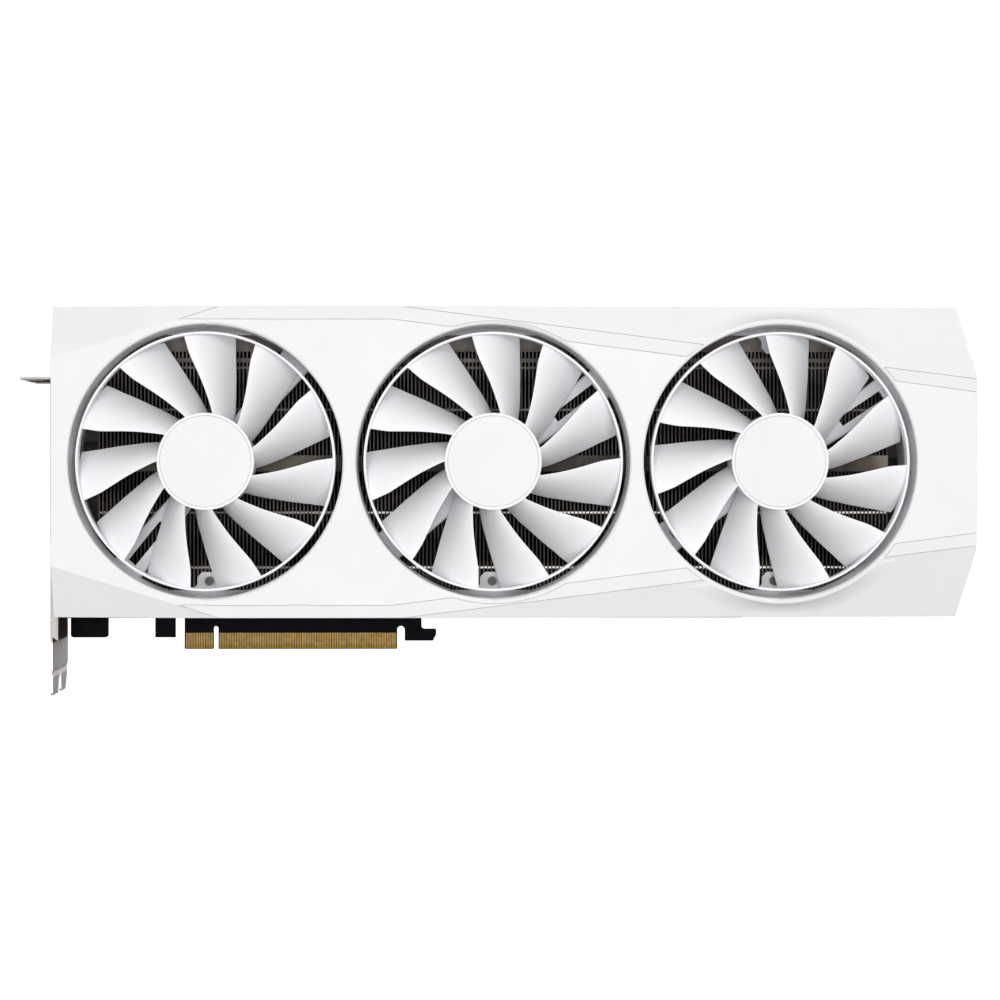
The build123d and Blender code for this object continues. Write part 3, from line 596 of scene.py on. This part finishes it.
def build_rotor(index):
    """Hub, outer ring and blades of one fan as one smooth mesh."""
    parts = []
    for profile, corner, segments in ((HUB_PROFILE, HUB_ROUND, 128), (RING_PROFILE, RING_ROUND, 176)):
        outline = [(r * MM, y * MM) for r, y in rounded(profile, corner)]
        parts.append(lathe(outline, segments, (FAN_X[index], FAN_Z)))
    parts += [blade(index, number) for number in range(BLADES)]
    verts = []
    faces = []
    for more_verts, more_faces in parts:
        base = len(verts)
        verts.extend(more_verts)
        faces.extend(tuple(base + i for i in face) for face in more_faces)
    obj = new_piece(f"rotor_{index + 1}", verts, faces, "rotor", f"rotor_{index + 1}")
    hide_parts(f"fan_rotor_{index + 1}")


for fan in range(len(FAN_X)):
    build_rotor(fan)


# ---------------------------------------------------------------- foot of the third collar, in millimetres
FOLD = ((137.5, 132.5), (351.6, 105.7))  # where the sloping shoulders start
FOLD_ANGLE = math.radians(18.0)
MIDDLE_Z = 74.3
COLLAR_IN = 52.75
COLLAR_OUT = 59.5
FOOT_LIMIT = 57.7  # how far up and down from the middle the foot may reach
FOOT_RINGS = 90
FOOT_STEPS = 16
FOOT_CURVE = 2.5
FOOT_THICK = 0.5
FOOT_GAP = 0.01  # behind the front plane
SINK = 1.1  # takes the foot out of sight where the shoulder has hardly fallen
SINK_BELOW = 0.45  # starts where the fall is less than this
SINK_OVER = 0.35


def shoulder_depth(x, z):
    """How far the sloping shoulder has fallen behind the front plane at a point."""
    (ax, az), (bx, bz) = FOLD
    length = math.hypot(bx - ax, bz - az)
    beyond = ((bx - ax) * (abs(z - MIDDLE_Z) + MIDDLE_Z - az) - (bz - az) * (x - ax)) / length
    return max(0.0, beyond) * math.tan(FOLD_ANGLE)


def build_collar_foot(name, first, last):
    """Closed sheet that runs from the raised collar down on to the shoulder in one soft curve."""
    cx = FAN_X[2] / MM
    cz = FAN_Z / MM
    limit = FOOT_LIMIT - abs(cz - MIDDLE_Z)
    loops = []
    for i in range(FOOT_RINGS + 1):
        a = math.radians(first + (last - first) * i / FOOT_RINGS)
        reach = min(COLLAR_OUT, limit / abs(math.sin(a)))
        front = []
        back = []
        for j in range(FOOT_STEPS + 1):
            t = j / FOOT_STEPS
            r = COLLAR_IN + (reach - COLLAR_IN) * t
            x = cx + r * math.cos(a)
            z = cz + r * math.sin(a)
            fall = shoulder_depth(x, z)
            hidden = min(1.0, max(0.0, (SINK_BELOW - fall) / SINK_OVER))
            drop = fall * (1 - (1 - t) ** FOOT_CURVE)
            y = SHROUD_FRONT / MM + FOOT_GAP + drop + SINK * hidden**2
            front.append((x * MM, y * MM, z * MM))
            back.append((x * MM, (y + FOOT_THICK) * MM, z * MM))
        loops.append(front + back[::-1])
    new_piece(name, *loft(loops), "shroud", "card")


build_collar_foot("collar_foot_upper", 38, 128)
build_collar_foot("collar_foot_lower", -128, -38)


# ---------------------------------------------------------------- stage, light and camera
def make_stage():
    """Pale floor just under the card, which throws neither light nor shadow on it."""
    mat = bpy.data.materials.new("studio_paper")
    mat.use_nodes = True
    bsdf = next(n for n in mat.node_tree.nodes if n.type == "BSDF_PRINCIPLED")
    bsdf.inputs["Base Color"].default_value = (0.3, 0.3, 0.3, 1.0)
    bsdf.inputs["Roughness"].default_value = 0.9
    bsdf.inputs["Emission Color"].default_value = (1.0, 1.0, 1.0, 1.0)
    bsdf.inputs["Emission Strength"].default_value = 0.9
    level = cad_low.z - FLOOR_GAP
    corners = [(x * FLOOR_HALF, y * FLOOR_HALF, level) for x, y in ((-1, -1), (1, -1), (1, 1), (-1, 1))]
    mesh = bpy.data.meshes.new("studio_floor")
    mesh.from_pydata(corners, [], [(0, 1, 2, 3)])
    mesh.materials.append(mat)
    floor = bpy.data.objects.new("studio_floor", mesh)
    floor.visible_diffuse = False
    floor.visible_glossy = False
    floor.visible_shadow = False
    bpy.context.scene.collection.objects.link(floor)


def make_world():
    """White all round as seen by the camera, dimmer as a light."""
    world = bpy.data.worlds.new("studio_world")
    world.use_nodes = True
    tree = world.node_tree
    background = tree.nodes["Background"]
    background.inputs["Color"].default_value = (1.0, 1.0, 1.0, 1.0)
    paths = tree.nodes.new("ShaderNodeLightPath")
    level = tree.nodes.new("ShaderNodeMapRange")
    level.inputs["To Min"].default_value = AMBIENT
    level.inputs["To Max"].default_value = 1.0
    tree.links.new(paths.outputs["Is Camera Ray"], level.inputs["Value"])
    tree.links.new(level.outputs["Result"], background.inputs["Strength"])
    bpy.context.scene.world = world


def facing(direction):
    """Turn that points a camera or a light, which look down their own -Z, along a direction."""
    return Vector(direction).to_track_quat("-Z", "Y").to_euler()


def area_light(name, place, target, size, power):
    light = bpy.data.lights.new(name, "AREA")
    light.energy = power
    light.size = size
    obj = bpy.data.objects.new(name, light)
    obj.location = place
    obj.rotation_euler = facing(Vector(target) - Vector(place))
    bpy.context.scene.collection.objects.link(obj)


def make_camera():
    data = bpy.data.cameras.new("main_camera")
    data.sensor_width = SENSOR_WIDTH
    data.sensor_fit = "HORIZONTAL"
    data.lens = SENSOR_WIDTH * CAMERA_DISTANCE / FRAME_WIDTH
    data.shift_x, data.shift_y = CAMERA_SHIFT
    data.clip_start = 0.05
    data.clip_end = 50.0
    obj = bpy.data.objects.new("main_camera", data)
    obj.location = (CAMERA_X, SHROUD_FRONT - CAMERA_DISTANCE, CAMERA_Z)
    yaw = math.atan(CAMERA_YAW * SENSOR_WIDTH / data.lens)
    obj.rotation_euler = facing((math.sin(yaw), math.cos(yaw), 0.0))
    bpy.context.scene.collection.objects.link(obj)
    bpy.context.scene.camera = obj


make_stage()
make_world()
make_camera()
for settings in LIGHTS:
    area_light(*settings)
bpy.context.scene.view_settings.view_transform = "Standard"
